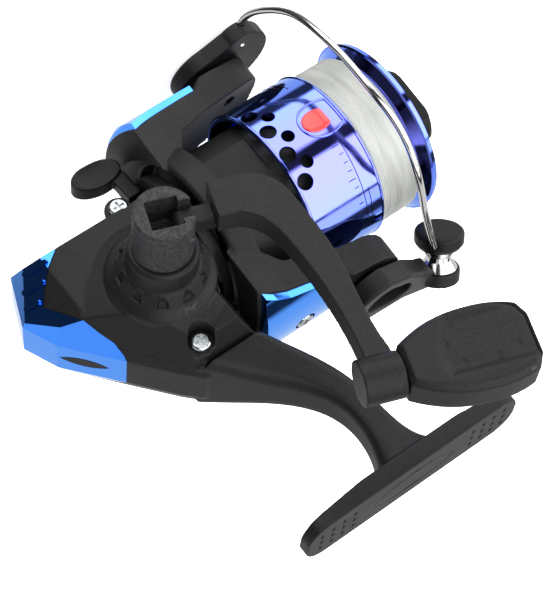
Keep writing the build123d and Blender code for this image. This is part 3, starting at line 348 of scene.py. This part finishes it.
def skirt_badge():
    """Red badge in a raised frame."""
    badge("badge_red", shield(12.9, 1.6, 6.3, 15.5), 0.35, "red")
    path = [on_spool(x, angle, SKIRT_R + 0.06) for x, angle in shield(13.9, 1.4, 9.4, 25.0, 64)]
    tube_piece("badge_frame", path, 0.28 * MM, "skirt_chrome", closed=True)


def skirt_beads(radius=0.38, points=120):
    """Rolled edges at both ends of the skirt."""
    for name, x in (("skirt_edge_rear", 0.35), ("skirt_edge_front", SKIRT_LENGTH - 0.45)):
        path = [on_spool(x, 360 / points * k, SKIRT_R - 0.12) for k in range(points)]
        tube_piece(name, path, radius * MM, "skirt_chrome", closed=True)


def skirt_rules(ink_r=SKIRT_R + 0.02):
    """Fine rule lines and a scale in place of lettering."""
    rules = [(14.9, 20, 80), (16.3, 56, 84), (13.9, -64, -40), (15.2, -60, -34)]
    for index, (x, start, end) in enumerate(rules):
        path = [on_spool(x, start + (end - start) * k / 24, ink_r) for k in range(25)]
        tube_piece(f"rule_{index}", path, 0.09 * MM, "black_cap", sides=6)
    ticks, scale_x, scale_start, scale_step = 9, 14.2, 22, 6
    for index in range(ticks):
        long = 1.9 if index % 4 == 0 else 1.1
        angle = scale_start + scale_step * index
        path = [on_spool(scale_x - long * k / 3, angle, ink_r) for k in range(4)]
        tube_piece(f"scale_tick_{index}", path, 0.10 * MM, "black_cap", sides=6)


def wound_line(steps=180, sides=300, pitch=0.42):
    """The filled spool: fine crossing turns whose ends are rounded down to the spool."""
    start, length = (LINE_LOW.x - SKIRT_REAR) / MM, (LINE_HIGH.x - LINE_LOW.x) / MM
    line_r = (LINE_HIGH.y - LINE_LOW.y) / 2 / MM
    turn_height, wander_height, below_top = 0.055, 0.04, 0.14
    end_width, end_drop = 0.9, 0.7
    verts = []
    for index in range(steps + 1):
        share = index / steps
        x = start + length * share
        edge = min(share, 1 - share) * length
        level = line_r - below_top - end_drop * max(0.0, 1 - edge / end_width) ** 2
        for side in range(sides):
            turn = side / sides
            lay = (cos(2 * pi * (x / pitch + 2 * turn)) + cos(2 * pi * (x / pitch - 3 * turn))) / 2
            wander = sin(2 * pi * (x / 3.1 + 5 * turn)) * cos(2 * pi * 3 * turn)
            verts.append(on_spool(x, 360 * turn, level + turn_height * lay + wander_height * wander))
    for x in (start, start + length):
        verts += [on_spool(x, 360 * side / sides, line_r - 4) for side in range(sides)]
    rows = [index * sides for index in range(steps + 1)]
    rear, front = (steps + 1) * sides, (steps + 2) * sides
    piece = add_piece("line_wound", verts, band_faces([rear, *rows, front, rear], sides), "line")
    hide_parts("fishing_line")


skirt_badge()
skirt_beads()
skirt_rules()
wound_line()


# ---- recesses pressed into the moulded pieces, in mm ----------------------------------------
def dimple_height(away, deep):
    """Height of a dimple's surface at a share of its radius: floor, wall, then a raised rim."""
    floor, rim_end, rim = 0.75, 1.35, 0.16
    if away < floor:
        return -deep
    if away < 1:
        return -deep * (1 - away) / (1 - floor)
    if away < rim_end:
        return rim * sin(pi * (away - 1) / (rim_end - 1))
    return 0.0


def dimple_flange(count=10, radius=10.2, dimple_r=1.45, phase=radians(17), deep=0.6):
    """Press a ring of dimples with raised rims into the flange round the crank."""
    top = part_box("side_cover")[1].y
    flange_width, flange_depth = 2.6, 9
    for vertex in softened["side_cover"].data.vertices:
        aside = vertex.co - CRANK
        reach = sqrt(aside.x ** 2 + aside.z ** 2) / MM
        if abs(reach - radius) > flange_width or vertex.co.y < top - flange_depth * MM:
            continue
        turn = (atan2(aside.z, aside.x) - phase) * count / (2 * pi)
        off_turn = (turn - round(turn)) * 2 * pi / count * radius
        away = sqrt(off_turn ** 2 + (reach - radius) ** 2) / dimple_r
        outward = Vector((aside.x, 1.1 * reach * MM, aside.z)).normalized()
        vertex.co += outward * dimple_height(away, deep) * MM


def ease(value):
    """Smooth step from 0 to 1."""
    value = min(1.0, max(0.0, value))
    return value * value * (3 - 2 * value)


def dish_grip(deep=0.95):
    """Thumb recess in both faces of the grip, open towards its blunt end."""
    vertices = softened["handle_grip"].data.vertices
    along, up = Vector(JOINTS["grip_spin"]["axis"]), Vector(JOINTS["handle_fold"]["axis"])
    middle = Vector(JOINTS["grip_spin"]["pos_m"])
    # the recess starts behind a curved line across the grip and ends before its long edges
    start_x, bow, low_z, high_z = 40.4, 0.055, -9.6, 5.9
    # every normal is read before the first vertex moves
    facing = [vertex.normal.y for vertex in vertices]
    for vertex, out in zip(vertices, facing):
        if abs(out) < 0.6:
            continue
        x, z = (vertex.co - CRANK).dot(along) / MM, (vertex.co - middle).dot(up) / MM
        inside = min((x - start_x - bow * z * z) / 3.6, (high_z - z) / 2.6, (z - low_z) / 3.0)
        vertex.co.y -= deep * MM * ease(inside) * (1 if out > 0 else -1)


dimple_flange()
dish_grip()

# ---- stage, light and camera --------------------------------------------------------------
scene = bpy.context.scene
scene.view_settings.view_transform = "Standard"


def pale_floor():
    """A pale, faintly glowing floor that throws no light and takes no shadow on the reel."""
    bpy.ops.mesh.primitive_plane_add(size=8, location=(0, 0, CAD_BOX[0].z - 0.2 * MM))
    floor = bpy.context.object
    floor.name = "floor"
    shader = Shader("pale_floor", roughness=0.9)
    shader.feed("Base Color", shader.blend(shader.noise(12, 2), grey(0.84), grey(0.88)))
    shader.surface.inputs["Emission Color"].default_value = grey(1.0)
    shader.surface.inputs["Emission Strength"].default_value = 0.75
    floor.data.materials.append(shader.material)
    floor.visible_glossy = False
    floor.visible_diffuse = False
    floor.visible_shadow = False


# soft boxes and black flags run round the reel's length; angles go from +Y up to +Z
SOFT_BOXES = [(-180, 0.95), (-88, 1.05), (-83, 0.08), (-68, 0.08), (-63, 3.2), (-4, 3.2),
              (2, 0.05), (16, 0.05), (21, 3.6), (89, 3.6), (90.5, 0.2), (93, 0.2), (94.5, 2.4),
              (111, 2.4), (115, 0.06), (128, 0.06), (134, 1.0), (180, 0.95)]
ROOM_LIGHT, FLAG_LIGHT = 1.05, 0.05


def studio_light():
    """A world that shows the camera plain white and gives the reel soft boxes and flags."""
    world = bpy.data.worlds.new("studio")
    scene.world = world
    world.use_nodes = True
    sky = world.node_tree

    def add(kind, inputs=None, **settings):
        return add_node(sky, kind, inputs, **settings).outputs

    def fade(value, start, end, low=0.0, high=1.0):
        """Map a value from start..end to low..high."""
        return add("ShaderNodeMapRange", {"Value": value, "From Min": start, "From Max": end,
                                          "To Min": low, "To Max": high})[0]

    def join(operation, first, second):
        return add("ShaderNodeMath", {0: first, 1: second}, operation=operation)[0]

    def choose(share, first, second):
        """A mix node's plain numbers are its inputs 2 and 3."""
        return add("ShaderNodeMix", {0: share, 2: first, 3: second}, data_type="FLOAT")[0]

    ray_x, ray_y, ray_z = add("ShaderNodeSeparateXYZ", {0: add("ShaderNodeTexCoord")["Generated"]})
    ramp = add_node(sky, "ShaderNodeValToRGB", {0: fade(join("ARCTAN2", ray_z, ray_y), -pi, pi)})
    peak = max(level for angle, level in SOFT_BOXES)
    stops = ramp.color_ramp.elements
    for index, (angle, level) in enumerate(SOFT_BOXES):
        place = (angle + 180) / 360
        stop = stops[index] if index < 2 else stops.new(place)
        stop.position = place
        stop.color = grey(level / peak)
    boxes = join("MULTIPLY", ramp.outputs[0], peak)
    # behind the tail the room is plain, with one black flag on the handle's side
    tail = fade(ray_y, -0.05, 0.2, ROOM_LIGHT, FLAG_LIGHT)
    room = choose(fade(ray_x, -0.62, -0.5), tail, boxes)
    # the low rear corner looks into a black flag
    corner = join("MAXIMUM", fade(ray_z, -0.62, -0.52, FLAG_LIGHT), fade(ray_x, -0.5, -0.4))
    seen = add("ShaderNodeLightPath")["Is Camera Ray"]
    backdrop = sky.nodes["Background"]
    backdrop.inputs["Color"].default_value = grey(1.0)
    sky.links.new(choose(seen, join("MULTIPLY", room, corner), 1.0), backdrop.inputs["Strength"])


CAMERA_AT = Vector((-162.4, 414.3, 113.9)) * MM
CAMERA_BACK = Vector((-0.346, 0.871, 0.349)).normalized()
CAMERA_RIGHT = Vector((0.79, 0.07, 0.609))


def aim_camera():
    """The camera stands on the handle's side, above and behind, and is rolled about its view."""
    right = (CAMERA_RIGHT - CAMERA_RIGHT.dot(CAMERA_BACK) * CAMERA_BACK).normalized()
    turned = Matrix((right, CAMERA_BACK.cross(right), CAMERA_BACK)).transposed().to_4x4()
    data = bpy.data.cameras.new("camera")
    data.lens = 125.98
    data.sensor_width = 36
    data.clip_end = 20
    camera = bpy.data.objects.new("camera", data)
    camera.matrix_world = Matrix.Translation(CAMERA_AT) @ turned
    scene.collection.objects.link(camera)
    scene.camera = camera


pale_floor()
studio_light()
aim_camera()
